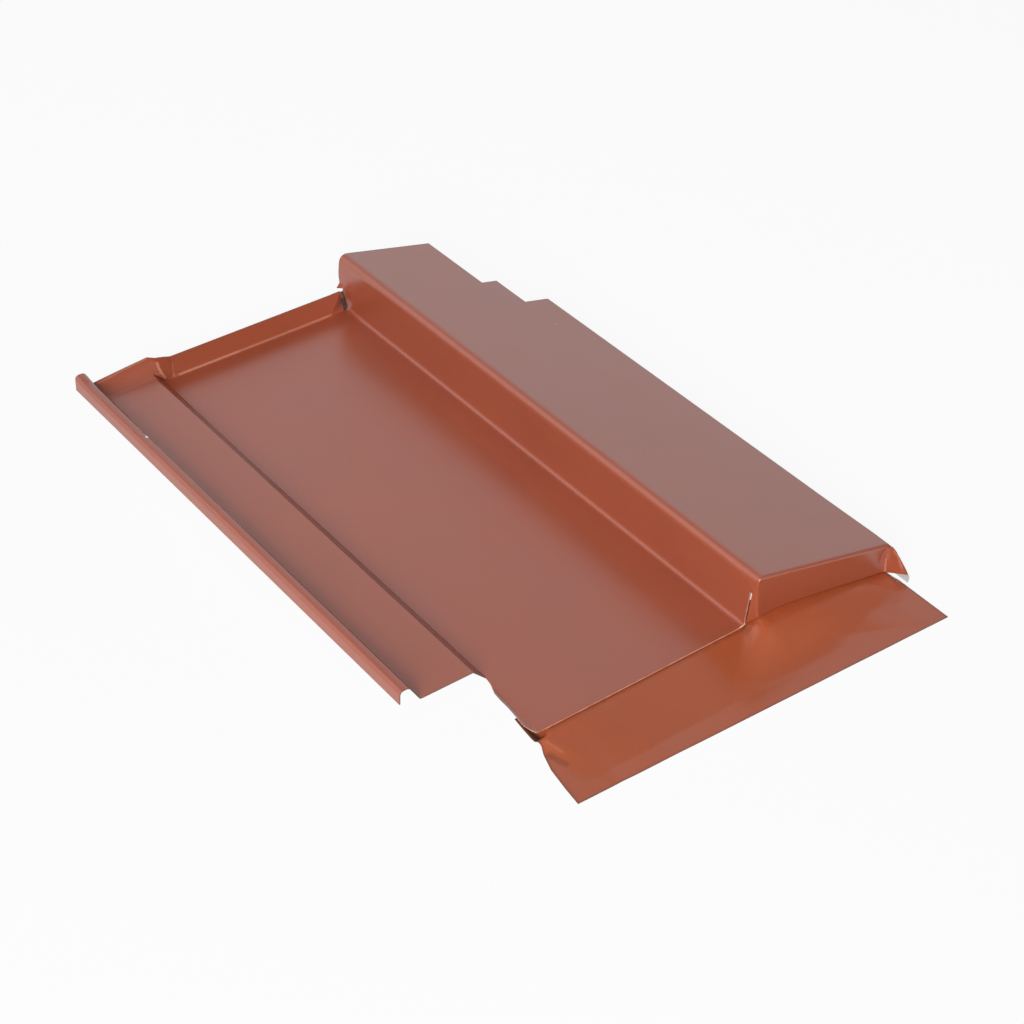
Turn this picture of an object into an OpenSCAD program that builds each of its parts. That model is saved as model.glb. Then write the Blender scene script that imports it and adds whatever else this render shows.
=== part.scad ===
// Metal roof tile: one folded sheet with a side lock, a flat pan, a raised rib and upstands,
// and one strip of soft aluminium that hangs out under the eave edge as an apron.
// X runs across the roof, Y up the slope towards the ridge, Z up from the floor it lies on.

/* [Sheet] */
// Thickness of the coated steel sheet
sheet_t = 0.6; // [0.4:0.05:1]
// Inner radius of the tight folds
fold_r = 1.6; // [1.2:0.1:2.5]

/* [Pan] */
// Width of the flat pan between the side lock and the rib
pan_w = 148; // [100:1:240]
// Length of the pan from the eave edge to the ridge upstand
pan_len = 420; // [300:1:600]
// Height of the pan's upper face above the floor
pan_lift = 6; // [5:0.5:12]
// Width of the hem folded under the pan's eave edge
hem_w = 16; // [8:1:30]

/* [Side lock] */
// Height of the lock's shelf above the pan
shelf_rise = 8.5; // [5:0.5:14]
// Width of the sloping step between pan and shelf
step_run = 8.3; // [5:0.1:14]
// Width of the flat shelf
shelf_w = 36.3; // [20:0.1:60]
// Width of the bead that closes the lock's outer edge
bead_w = 14.2; // [12:0.1:20]
// Height of the bead above the shelf
bead_h = 12; // [9:0.5:16]
// Depth of the bead's outer lip
lip_depth = 9.3; // [6:0.1:11]
// Length of pan left without a side lock at the eave
lock_setback = 53; // [20:1:90]
// How far the bead runs past the pan at the ridge
bead_overrun = 10; // [5:0.5:15]

/* [Rib] */
// Height of the rib's left edge above the pan
rib_h = 45.3; // [30:0.1:70]
// How far the rib's wall leans out over the pan
wall_lean = 4; // [0:0.5:8]
// Width of the rib's top
rib_w = 107.5; // [80:0.5:160]
// Fall of the rib's top across its width, in degrees
rib_fall = 14; // [6:0.5:16]
// Radius of the rib's upper left edge
rib_r = 6; // [4:0.5:10]
// How far the rib's nose stands out in front of the pan
nose_out = 12; // [8:1:20]
// Height of the nose's lower left corner above the pan
nose_gap_left = 14.4; // [8:0.2:18]
// Length of the nose's lower edge that runs level before it falls
nose_level_w = 18; // [10:1:30]
// Drop of the nose's lower right corner below the pan
nose_drop_right = 2; // [0:0.2:3]
// How far the rib's ridge end runs past the pan
rib_overrun = 2.8; // [1:0.1:6]
// Width of the first and widest notch beside the ridge end
notch_a_w = 32.5; // [22:0.5:40]
// Length of the first notch
notch_a_len = 64.6; // [40:0.2:90]
// Width of the second notch, next down the slope
notch_b_w = 20.2; // [8:0.2:21]
// Length of the second notch
notch_b_len = 33.6; // [15:0.2:60]

/* [Side flange] */
// How far the side flange leans outwards on its way down
flange_lean = 6.5; // [4:0.5:12]
// How far the side flange's foot stands in front of the nose
flange_toe = 13; // [5:0.5:16]
// Height of the straight front end of that foot
toe_h = 4.5; // [2:0.5:6]

/* [Upstands] */
// Height of the pan's ridge upstand
upstand_h = 16.4; // [10:0.2:30]
// Gap between the pan's upstand and the rib's wall
upstand_gap = 4; // [2:0.5:8]
// Height of the shelf's ridge upstand above the shelf, at its right end
shelf_upstand_h = 12; // [10:0.5:18]
// How much lower that upstand is at its left end
shelf_upstand_fall = 4.5; // [0:0.5:8]
// Radius of the soft bend at the foot of the shelf's upstand
soft_r = 7; // [4:0.5:9]
// Depth of the turned-down edge beside the eave corner
drip_h = 3.6; // [2:0.2:4]

/* [Apron] */
// Thickness of the soft aluminium strip
apron_t = 0.4; // [0.3:0.05:0.8]
// How far the apron reaches in front of the pan at its left end
apron_reach = 53; // [35:1:90]
// How much further it reaches at its right end
apron_skew = 8.5; // [0:0.5:20]
// How far its front left corner stands out beside the pan
apron_side_out = 15.5; // [5:0.5:25]
// Length tucked in under the hem
apron_tuck = 14; // [6:1:25]
// Length over which it rises from the floor to the pan
apron_rise = 25; // [15:1:30]

/* [Hidden] */
paint = [0.55, 0.28, 0.22];
paint_soft = [0.62, 0.32, 0.20];
arc_steps = 5;
clear = 0.15;                       // room left between the sheet and the apron
past_wall = 20;                     // how far the cutting blocks reach beyond the rib's wall

wall_fold_r = 1.6 * fold_r;         // inner radius of the fold at the foot of the rib's wall
lock_x = -step_run - shelf_w;       // foot of the bead's inner side
lip_x = lock_x - bead_w;            // outer face of the lip
rib_x0 = pan_w - wall_lean;         // left edge of the rib's top
rib_x1 = rib_x0 + rib_w;            // right edge of the rib's top
rib_h1 = rib_h - rib_w * tan(rib_fall);
foot_x = rib_x1 + flange_lean;      // foot of the side flange
shelf_y = pan_len + 4;              // outer face of the shelf's upstand
gusset_x = -0.36 * step_run;        // where the gusset meets the pan's upstand
gusset_h = mix(upstand_h, shelf_rise + shelf_upstand_h, 0.6);
bead_y = pan_len + bead_overrun;
rib_y = pan_len + rib_overrun;
notch_a_y = rib_y - notch_a_len;
notch_b_y = notch_a_y - notch_b_len;
eave_y = -apron_reach - apron_skew;
corner_x = 4;                       // where the apron begins to rise beside the eave corner
corner_end = corner_x + 20;         // where it is up against the hem
rise_x = pan_w + 1.2;               // where it begins to rise again under the rib
rise_end = rise_x + 12;             // where it is up against the nose
big = 2000;                         // larger than the part, for cutting blocks

// The part's origin is on the floor, in the middle of its box
to_origin = [-(lip_x + foot_x) / 2, -(eave_y + bead_y) / 2, pan_lift];

function unit(v) = v / norm(v);
function smooth(a, b, v) = let(s = max(0, min(1, (v - a) / (b - a)))) s * s * (3 - 2 * s);
function mix(a, b, s) = a + (b - a) * s;
function reversed(v) = [for (i = [len(v) - 1:-1:0]) v[i]];

// Arc of radius r that rounds the corner b of the path a, b, c
function fillet(a, b, c, r) =
    let(u = unit(a - b), w = unit(c - b), half = acos(u * w) / 2,
        centre = b + unit(u + w) * r / sin(half),
        start = b + u * r / tan(half) - centre,
        from = atan2(start[1], start[0]),
        turn = sign(cross(b - a, c - b)) * (180 - 2 * half))
    [for (i = [0:arc_steps]) let(k = from + turn * i / arc_steps) centre + r * [cos(k), sin(k)]];

// Path with each inner corner rounded by its own radius
function rounded(path, radii) = [
    path[0],
    for (i = [1:len(path) - 2]) each fillet(path[i - 1], path[i], path[i + 1], radii[i]),
    path[len(path) - 1]
];

// Normal on the right-hand side of the path at point i, long enough for a mitre
function right_of(p, i) =
    let(n = len(p) - 1, a = unit(p[min(i + 1, n)] - p[min(i, n - 1)]),
        b = unit(p[max(i, 1)] - p[max(i - 1, 0)]), m = unit(a + b))
    [m[1], -m[0]] / (m * a);

// Outline of a sheet whose upper face follows the path
function ribbon(path, t = sheet_t) =
    concat(path, reversed([for (i = [0:len(path) - 1]) path[i] + t * right_of(path, i)]));

// Sheet bent along Y: its path is given across the roof, as [x, z]
module along_y(path, y0, y1) {
    translate([0, y1, 0]) rotate([90, 0, 0]) linear_extrude(y1 - y0) polygon(ribbon(path));
}

// Sheet bent along X: its path is given up the slope, as [y, z]
module along_x(path, x0, x1) {
    translate([x0, 0, 0]) rotate([90, 0, 90]) linear_extrude(x1 - x0) polygon(ribbon(path));
}

// Upright plate seen from the eave: its outline is given as [x, z]
module plate(outline, y0, y1) {
    translate([0, y1, 0]) rotate([90, 0, 0]) linear_extrude(y1 - y0) polygon(outline);
}

// Block between two corners, for cutting
module block(low, high) {
    translate(low) cube(high - low);
}

// The roll-formed section from the lip of the lock to the foot of the side flange
section = rounded(
    [[lip_x, shelf_rise + bead_h - lip_depth], [lip_x + 0.4, shelf_rise + bead_h],
     [lip_x + bead_w / 2, shelf_rise + bead_h], [lock_x, shelf_rise], [-step_run, shelf_rise],
     [0, 0], [pan_w, 0], [rib_x0, rib_h], [rib_x1, rib_h1], [foot_x, -pan_lift]],
    [0, 3, 3.4, fold_r, 2, fold_r, wall_fold_r, rib_r, rib_r, 0]);

// The rolled section with its ends notched
module rolled_part() {
    difference() {
        along_y(section, -nose_out, bead_y);
        // eave: the lock stops short, and only the rib runs on past the pan
        block([-big, -big, -big], [0, lock_setback, big]);
        block([-big, -big, -big], [pan_w - past_wall, 0, big]);
        block([0, -big, -big], [pan_w + past_wall, 0, nose_gap_left]);
        // ridge: each part of the section ends at its own length
        block([-big, shelf_y - soft_r - sheet_t, -big], [lock_x - fold_r, big, shelf_rise]);
        block([lock_x, shelf_y - soft_r - sheet_t, -big], [-step_run, big, big]);
        block([-step_run, pan_len, -big], [pan_w - past_wall, big, big]);
        block([-step_run, pan_len, -big], [pan_w + past_wall, big, upstand_h]);
        block([pan_w - past_wall, rib_y, -big], [big, big, big]);
        block([rib_x1 - notch_a_w, notch_a_y, -big], [big, big, big]);
        block([rib_x1 - notch_b_w, notch_b_y, -big], [big, big, big]);
        // the side flange's foot is cut level with the floor
        block([-big, -big, -big], [big, big, -pan_lift]);
    }
}

// Outer face of the rib's wall and of the side flange at height z
function wall_x(z) = pan_w - wall_lean * z / rib_h;
function side_x(z) = rib_x1 + flange_lean * (rib_h1 - z) / (rib_h1 + pan_lift);

// Nose that closes the rib's eave end, folded down from its top
module nose() {
    outline = rounded(
        [[wall_x(nose_gap_left) + nose_level_w, nose_gap_left],
         [wall_x(nose_gap_left), nose_gap_left], [rib_x0, rib_h], [rib_x1, rib_h1],
         [rib_x1 - 0.1, -nose_drop_right]],
        [0, 0.1, rib_r, fold_r, 0]);
    plate(outline, -nose_out, -nose_out + sheet_t);
}

// Plate stretched between a few small blocks
module web(points) {
    hull() for (p = points) translate(p) cube(sheet_t);
}

// The side flange's toe, which reaches forward, and the web that ties it to the nose
module toe() {
    front = -nose_out - flange_toe;
    tip_z = -pan_lift + toe_h;
    shoulder_z = mix(tip_z, rib_h1, 0.75);
    top = [rib_x1, -nose_out, rib_h1 - fold_r];
    shoulder = [side_x(shoulder_z) + 1, -nose_out - 0.35 * flange_toe, shoulder_z];
    tip = [side_x(tip_z) - sheet_t, front + 1, tip_z];
    heel = [rib_x1 - 2 * sheet_t, -nose_out, -nose_drop_right];
    web([top, shoulder, tip, [foot_x - sheet_t, -nose_out, -pan_lift],
         [foot_x - 2 * sheet_t, front, -pan_lift]]);
    web([top, shoulder, tip, heel]);
}

// Upstand folded up from the pan at the ridge, with its stepped end over the lock's slope
module pan_upstand() {
    outline = [[gusset_x, 0], [gusset_x, gusset_h], [3, upstand_h + 0.6], [10, upstand_h],
               [pan_w - upstand_gap, upstand_h], [pan_w - upstand_gap, -sheet_t], [0, -sheet_t]];
    plate(outline, pan_len - sheet_t, pan_len);
}

// Upstand folded up from the shelf through a soft bend, lower at its left end
module shelf_upstand() {
    top = shelf_rise + shelf_upstand_h;
    start = shelf_y - soft_r - sheet_t;
    path = rounded([[start, shelf_rise], [shelf_y - sheet_t, shelf_rise],
                    [shelf_y - sheet_t, top + 1]], [0, soft_r, 0]);
    intersection() {
        along_x(path, lock_x - fold_r, -step_run);
        plate([[lock_x - fold_r, shelf_rise - 5], [lock_x - fold_r, top - shelf_upstand_fall],
               [-step_run, top], [-step_run, shelf_rise - 5]], start - 1, shelf_y + 1);
    }
}

// Gusset that bridges the two upstands across the lock's slope
module gusset() {
    hull() {
        translate([-step_run - 1, shelf_y - sheet_t, shelf_rise + soft_r])
            cube([1, sheet_t, shelf_upstand_h - soft_r - 0.1]);
        translate([gusset_x, pan_len - sheet_t, 0]) cube([1, sheet_t, gusset_h]);
    }
}

// Hem folded flat under the pan's eave edge, from one side bend to the other
module hem() {
    block([0.3 * fold_r, 0, -2 * sheet_t], [pan_w - wall_fold_r, hem_w, -sheet_t / 2]);
}

// Turned-down edge beside the eave corner, where the lock is cut away
module drip_edge() {
    path = rounded([[-2.4, -drip_h], [0, 0], [3 * fold_r, 0]], [0, fold_r, 0]);
    along_y(path, 0, lock_setback);
}

module roof_sheet() {
    color(paint) translate(to_origin) {
        rolled_part();
        hem();
        drip_edge();
        nose();
        toe();
        pan_upstand();
        shelf_upstand();
        gusset();
    }
}

// Upper face of the apron: flat on the floor in front, raised to the hem behind, and raised
// again under the nose of the rib
function apron_z(x, y) =
    let(ground = apron_t - pan_lift,
        tucked = -2 * sheet_t - clear,
        corner = mix(ground, tucked, smooth(corner_x, corner_end, x)),
        base = mix(ground, corner, smooth(-1 - apron_rise, -1, y)),
        level_x = pan_w + nose_level_w,
        fall = max(0, (x - level_x) / (rib_x1 - level_x)),
        nose_z = mix(nose_gap_left, -nose_drop_right, fall) - clear - sheet_t,
        under = smooth(rise_x, rise_end, x) * smooth(-1.2 * apron_rise - nose_out, -nose_out, y))
    mix(base, max(base, nose_z), under);

// Soft aluminium strip, as a grid of points. Its columns run up the slope; the first one follows
// the slanted left end, and the rest stand closer where the strip bends.
module apron() {
    end_x = rib_x1 + 1.5;
    columns = concat([for (k = [0:4]) mix(corner_x, corner_end, k / 4)],
                     [for (k = [1:4]) mix(corner_end, rise_x, k / 4)],
                     [for (k = [1:4]) mix(rise_x, rise_end, k / 4)],
                     [for (k = [1:5]) mix(rise_end, end_x, k / 5)]);
    rows = concat([for (k = [0:10]) mix(0, 1, k / 10)], [1.5, 2]);
    nx = len(columns);
    ny = len(rows) - 1;
    grid = [for (i = [0:nx]) for (j = [0:ny])
        let(v = min(rows[j], 1),
            left = -1 - (apron_side_out - 1) * (1 - pow(v, 1.6)),
            x = i == 0 ? left : columns[i - 1],
            y_front = -apron_reach - apron_skew * (x + apron_side_out) / (end_x + apron_side_out),
            y = mix(y_front, 0, v) + apron_tuck * max(rows[j] - 1, 0))
        [x, y, apron_z(x, y)]];
    n = len(grid);
    function at(i, j) = i * (ny + 1) + j;
    points = concat(grid, [for (p = grid) p - [0, 0, apron_t]]);
    faces = concat(
        [for (i = [0:nx - 1]) for (j = [0:ny - 1]) each
            [[at(i, j), at(i, j + 1), at(i + 1, j + 1)], [at(i, j), at(i + 1, j + 1), at(i + 1, j)]]],
        [for (i = [0:nx - 1]) for (j = [0:ny - 1]) each
            [[n + at(i, j), n + at(i + 1, j + 1), n + at(i, j + 1)],
             [n + at(i, j), n + at(i + 1, j), n + at(i + 1, j + 1)]]],
        [for (i = [0:nx - 1]) each
            [[at(i, 0), at(i + 1, 0), n + at(i + 1, 0), n + at(i, 0)],
             [at(i + 1, ny), at(i, ny), n + at(i, ny), n + at(i + 1, ny)]]],
        [for (j = [0:ny - 1]) each
            [[at(0, j + 1), at(0, j), n + at(0, j), n + at(0, j + 1)],
             [at(nx, j), at(nx, j + 1), n + at(nx, j + 1), n + at(nx, j)]]]);
    color(paint_soft) translate(to_origin) polyhedron(points, faces);
}

roof_sheet();
apron();
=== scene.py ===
# Metal roof tile with its soft apron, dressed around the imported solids.
# The pieces are modelled with the pan's front left corner at the origin, in millimetres
# typed here and metres in Blender, and are moved to their place in the part at the end.
import math

import bmesh
import bpy
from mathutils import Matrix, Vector


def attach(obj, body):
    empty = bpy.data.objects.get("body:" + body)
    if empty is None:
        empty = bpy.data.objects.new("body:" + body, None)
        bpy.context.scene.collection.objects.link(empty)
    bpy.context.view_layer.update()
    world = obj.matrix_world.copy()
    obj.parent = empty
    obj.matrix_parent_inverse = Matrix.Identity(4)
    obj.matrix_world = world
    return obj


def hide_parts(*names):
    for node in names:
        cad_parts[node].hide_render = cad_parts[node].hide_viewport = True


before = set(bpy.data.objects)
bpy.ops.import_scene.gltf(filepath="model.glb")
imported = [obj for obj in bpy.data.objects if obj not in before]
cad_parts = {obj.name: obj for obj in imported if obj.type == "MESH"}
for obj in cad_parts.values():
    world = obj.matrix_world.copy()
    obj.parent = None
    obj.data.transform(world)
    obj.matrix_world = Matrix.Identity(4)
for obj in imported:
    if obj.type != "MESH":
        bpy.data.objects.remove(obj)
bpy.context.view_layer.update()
mm = 0.001
panLift = 6         # height of the pan's upper face above the floor
panCorner = Vector((-99.6, -184.25, panLift)) * mm    # the pan's front left corner in the part
slack = 0.1         # a corner this little past a line still counts as on it


# Selection and editing, as by hand

def clearSelection():
    bpy.ops.object.select_all(action="DESELECT")


def selectOnly(piece):
    clearSelection()
    bpy.context.view_layer.objects.active = piece
    piece.select_set(True)


def openPiece(piece):
    selectOnly(piece)
    bpy.ops.object.mode_set(mode="EDIT")
    bpy.ops.mesh.select_all(action="DESELECT")


def closePiece():
    bpy.ops.object.mode_set(mode="OBJECT")


def near(value, target, reach=0.02):
    return abs(value - target) < reach


# From 0 at start to 1 at end, slow at both
def ease(start, end, value):
    share = min(1, max(0, (value - start) / (end - start)))
    return share * share * (3 - 2 * share)


def blendTo(a, b, share):
    return a + (b - a) * share


# Selects the edges or faces whose every corner passes the test, given in millimetres
def pick(piece, kind, test):
    bpy.ops.mesh.select_mode(type=kind)
    bpy.ops.mesh.select_all(action="DESELECT")
    mesh = bmesh.from_edit_mesh(piece.data)
    for part in {"EDGE": mesh.edges, "FACE": mesh.faces}[kind]:
        if all(test(*(v.co / mm)) for v in part.verts):
            part.select_set(True)
    mesh.select_flush_mode()
    bmesh.update_edit_mesh(piece.data)


def extrude(dx, dy, dz):
    move = {"value": (dx * mm, dy * mm, dz * mm)}
    bpy.ops.mesh.extrude_region_move(TRANSFORM_OT_translate=move)


# Cuts the faces that pass the test along a plane
def cut(piece, test, point, normal):
    pick(piece, "FACE", test)
    bpy.ops.mesh.bisect(plane_co=[c * mm for c in point], plane_no=Vector(normal).normalized())


# The same at each of several places along an axis
def cutAcross(piece, axis, places, test=lambda x, y, z: True):
    normal = [1 if a == axis else 0 for a in "xyz"]
    for place in places:
        cut(piece, test, [place * n for n in normal], normal)


def removeFaces(piece, test):
    pick(piece, "FACE", test)
    bpy.ops.mesh.delete(type="FACE")


# Moves the corner nearest to a point; moves holds pairs of old and new places
def moveCorners(piece, moves):
    mesh = bmesh.from_edit_mesh(piece.data)
    for old, new in moves:
        nearest = min(mesh.verts, key=lambda v: (v.co / mm - Vector(old)).length)
        nearest.co = Vector(new) * mm
    bmesh.update_edit_mesh(piece.data)


# Closes a face over corners that are there already, or makes the ones that aren't
def patch(piece, corners):
    mesh = bmesh.from_edit_mesh(piece.data)
    found = []
    for corner in corners:
        there = [v for v in mesh.verts if (v.co / mm - Vector(corner)).length < 0.05]
        found.append(there[0] if there else mesh.verts.new(Vector(corner) * mm))
    mesh.faces.new(found)
    mesh.normal_update()
    bmesh.update_edit_mesh(piece.data)


# Extrudes the picked edge row by row along an arc; place(corner, row) gives each corner its spot
def bendRows(piece, rows, place):
    for row in range(1, rows + 1):
        extrude(0, 0, 0)
        mesh = bmesh.from_edit_mesh(piece.data)
        for v in mesh.verts:
            if v.select:
                v.co = Vector(place(v.co / mm, row)) * mm
        bmesh.update_edit_mesh(piece.data)


# Gives each fold its own radius; folds holds pairs of a test for an edge and a radius
def bendFolds(piece, folds, segments):
    openPiece(piece)
    mesh = bmesh.from_edit_mesh(piece.data)
    layer = mesh.edges.layers.float.new("bevel_weight_edge")
    widths = {}
    for edge in mesh.edges:
        if len(edge.link_faces) != 2:
            continue
        turn = edge.link_faces[0].normal.angle(edge.link_faces[1].normal, 0)
        for test, radius in folds:
            if turn > 0.1 and all(test(*(v.co / mm)) for v in edge.verts):
                widths[edge] = radius * math.tan(turn / 2)
                break
    widest = max(widths.values())
    for edge, width in widths.items():
        edge[layer] = width / widest
    bmesh.update_edit_mesh(piece.data)
    closePiece()
    bend = piece.modifiers.new("Bends", "BEVEL")
    bend.limit_method = "WEIGHT"
    bend.offset_type = "OFFSET"
    bend.width = widest * mm
    bend.segments = segments
    bend.use_clamp_overlap = False
    bpy.ops.object.modifier_apply(modifier="Bends")


# Joins corners that meet and turns every face the same way, the widest level one upwards
def alignFaces(piece):
    openPiece(piece)
    bpy.ops.mesh.select_all(action="SELECT")
    bpy.ops.mesh.remove_doubles(threshold=0.02 * mm)
    bpy.ops.mesh.normals_make_consistent(inside=False)
    mesh = bmesh.from_edit_mesh(piece.data)
    mesh.faces.ensure_lookup_table()
    widest = max(mesh.faces, key=lambda f: f.calc_area() * (abs(f.normal.z) > 0.9))
    if widest.normal.z < 0:
        bpy.ops.mesh.flip_normals()
    closePiece()


# How far the back may lie behind the front, in thicknesses, and how near to a tight spot that is
backLimits = {"loose": 2, "tight": 0.12, "tightReach": 1.8}


# Thickness below the painted face, with the back and the cut edge as second and third material;
# tight holds places where the sheet folds back on itself, and end is how far up the slope it goes
def thicken(piece, thickness, end=math.inf, tight=()):
    alignFaces(piece)
    for slot in range(3):    # painted face, back and cut edge
        piece.data.materials.append(None)
    sheet = piece.modifiers.new("Thickness", "SOLIDIFY")
    sheet.thickness = thickness * mm
    sheet.offset = -1
    sheet.use_even_offset = True
    sheet.use_quality_normals = True
    sheet.material_offset = 1
    sheet.material_offset_rim = 2
    count = len(piece.data.vertices)
    bpy.ops.object.modifier_apply(modifier="Thickness")
    corners = piece.data.vertices
    for i in range(count):
        away = corners[i + count].co - corners[i].co
        close = any((corners[i].co / mm - Vector(spot)).length < backLimits["tightReach"]
                    for spot in tight)
        limit = backLimits["tight" if close else "loose"] * thickness * mm
        if away.length > limit:
            corners[i + count].co = corners[i].co + away.normalized() * limit
    for v in corners:    # feet are cut level with the floor
        v.co.z = max(v.co.z, -panLift * mm)
        v.co.y = min(v.co.y, end * mm)


def smoothPiece(piece, degrees):
    selectOnly(piece)
    bpy.ops.object.shade_smooth_by_angle(angle=math.radians(degrees))
    weigh = piece.modifiers.new("Weighted", "WEIGHTED_NORMAL")
    weigh.keep_sharp = True
    bpy.ops.object.modifier_apply(modifier="Weighted")


# The folded sheet: the roll-formed section first, then what is folded up or down at its ends

sheetSizes = {
    "thickness": 0.6, "bendSegments": 6, "smoothAngle": 32,
    "panWidth": 148, "panLength": 420,
    "shelfRise": 8.5, "stepRun": 8.3, "shelfWidth": 36.3,
    "beadWidth": 14.2, "beadHeight": 12, "lipDepth": 9.3, "lipLean": 0.4,
    "lockSetback": 53, "beadEnd": 430, "shelfEnd": 412.5,
    "ribHeight": 44.85, "wallLean": 4, "ribWidth": 107.5, "ribDrop": 26.4,
    "flangeLean": 6.5, "ribEnd": 422.8, "noseFront": -12,
    "notchX": (219.0, 231.3), "notchY": (358.2, 324.6),
    "wallSlot": (15.8, 18.5),          # heights between which the wall's ridge end is cut through
    "hemRadius": 0.62, "hemWidth": 15, "hemSteps": 6,
    "radii": {"lip": 3.0, "bead": 3.4, "lock": 1.6, "shelf": 2.0, "step": 1.6, "wallFoot": 2.8,
              "ribLeft": 5.0, "ribRight": 3.0, "noseTop": 2.3, "noseLeft": 2.6, "noseRight": 0.8,
              "web": 0.4, "toe": 0.15, "gusset": 0.9, "upstand": 2.0},
    # left edge of the pan at the eave: y, x of the edge, how far it turns down
    "drip": ((0, -4.15, 0.9), (6, -3.7, 3.4), (12.5, -3.5, 5.2), (17, -3.4, 4.3), (23, -2.7, 4.1),
             (29, -2.2, 4.0), (36, -2.1, 3.9), (42, -1.9, 3.2), (47, -1.2, 0.5), (53, 0, 0.01)),
    "dripBend": 1.7, "dripRows": 5,
    # the slit between wall and nose, and the lower edge of the return in front of it: the
    # normals of their cuts, and the height at which that edge meets the nose
    "slit": (0, 30, 6), "slitWidth": 1.1, "slitEdge": 0.7, "slitTop": 30,
    "returnEdge": (0, 9.4, 8.4), "returnFoot": 14.4,
    # the nose's lower edge: x at the nose's top, then where that line ends
    "noseEdge": ((152.3, 158.3, -6.0, 7.6), (162.3, 168.0, -6.3, 7.9), (183.7, 187.8, -8.1, 6.8),
                 (216.4, 217.2, -11.3, 4.0), (219.0, 219.6, -11.4, 3.7), (231.3, 231.3, -12, 1.9),
                 (239.5, 239.5, -12, 0.3), (245.0, 245.0, -12, -0.9), (248.1, 248.1, -12, -1.5),
                 (249.4, 249.4, -12, -1.7)),
    "noseCorner": (152.7, -6.0, 7.2), "noseDepth": 30, "noseLean": 0.4, "noseFoot": -2,
    # front edge of the side flange's toe, from its top to the floor
    "toe": ((251.9, -14.4, 17.3), (252.5, -18.0, 14.7), (253.2, -20.4, 11.7), (254.1, -22.5, 8.4),
            (255.0, -24.6, 4.8), (255.9, -25.8, 1.6), (256.6, -25.9, -1.1), (257.7, -24.2, -6)),
    # the web's line on the nose: its heights, and its shift in y at each
    "webHeights": (16.2, 14, 10, 6.5, 3, -2),
    "webShift": (-0.4, -0.9, -1.5, -1.8, -2.0, -2.0),
    # the dent and the ridge beside it: x, height of the foot, shift in y from the second height on
    "pinch": ((245.0, -0.9, (0.3, 0.8, 0.8, 0.5, 0.3)), (248.1, -1.5, (0.1, 0.3, 0.3, 0.2, 0.1)),
              (249.4, -1.7, (-0.7, -0.9, -1.0, -1.0, -1.0))),
    "pinchStart": 225,
    "upstand": 16.5, "upstandStart": 8, "upstandBend": 134, "upstandEnd": 144,
    "upstandCorner": 142.6,
    # how far it leans back and down, where that starts, and how much of it the corner keeps
    "upstandLean": (2.4, 1.5), "leanFrom": (3, 9), "leanTo": 145.5, "leanLeft": 0.3,
    "lobe": (145.2, 421.8, 8), "lobeTip": (144.2, 420.9, 15.4),
    "shelfBend": 11.5, "shelfRows": 6, "shelfTops": ((-44.6, 16.0), (-24.6, 18.6), (-8.3, 20.0)),
    # the crease of the gusset between the two upstands, from its top to its foot
    "crease": ((-2.6, 421.0, 14.8), (-1.9, 420.6, 10.2), (-0.5, 420.1, 5.4), (1.3, 419.6, 2.0),
               (3.2, 419.0, 0.1)),
    "saddle": (-3.2, 422.6, 18.2), "gussetLip": (2.6, 421.0, 17.6), "gussetMid": (8.2, 420.4, 9),
    # how far the wall and the bead open at the ridge, from where, and the rows that bend there
    "wallFlare": 2.6, "wallSpur": 5.6, "wallFlareStart": 400,
    "wallFlareRows": (398, 404, 410, 415, 419), "wallFlareHeights": (10, 18.5, 22, 26, 31, 36),
    "wallFlareFoot": (2, 20), "wallFlareTop": (45, 26),    # heights where it grows and fades
    "wallFlap": (-2.6, 2.3, -0.2), "wallFlapDrop": 4,
    "beadFlare": 1.8, "beadFlareStart": 415, "beadFlareRows": (419, 423, 426.5),
    "beadFlareFoot": (11, 19),
}


def rollSection(s):
    length = s["beadEnd"] - s["noseFront"]
    clearSelection()
    bpy.ops.mesh.primitive_plane_add(size=1)
    piece = bpy.context.object
    piece.name = "roof_sheet_skin"
    piece.scale = (s["panWidth"] * mm, length * mm, 1)
    piece.location = (s["panWidth"] * mm / 2, (s["noseFront"] + length / 2) * mm, 0)
    bpy.ops.object.transform_apply(location=True, rotation=False, scale=True)
    openPiece(piece)
    pick(piece, "EDGE", lambda x, y, z: near(x, 0))
    for dx, dz in ((-s["stepRun"], s["shelfRise"]), (-s["shelfWidth"], 0),
                   (-s["beadWidth"] / 2, s["beadHeight"]),
                   (s["lipLean"] - s["beadWidth"] / 2, 0), (-s["lipLean"], -s["lipDepth"])):
        extrude(dx, 0, dz)
    pick(piece, "EDGE", lambda x, y, z: near(x, s["panWidth"]))
    for dx, dz in ((-s["wallLean"], s["ribHeight"]), (s["ribWidth"], -s["ribDrop"]),
                   (s["flangeLean"], -panLift - s["ribHeight"] + s["ribDrop"])):
        extrude(dx, 0, dz)
    return piece


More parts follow.
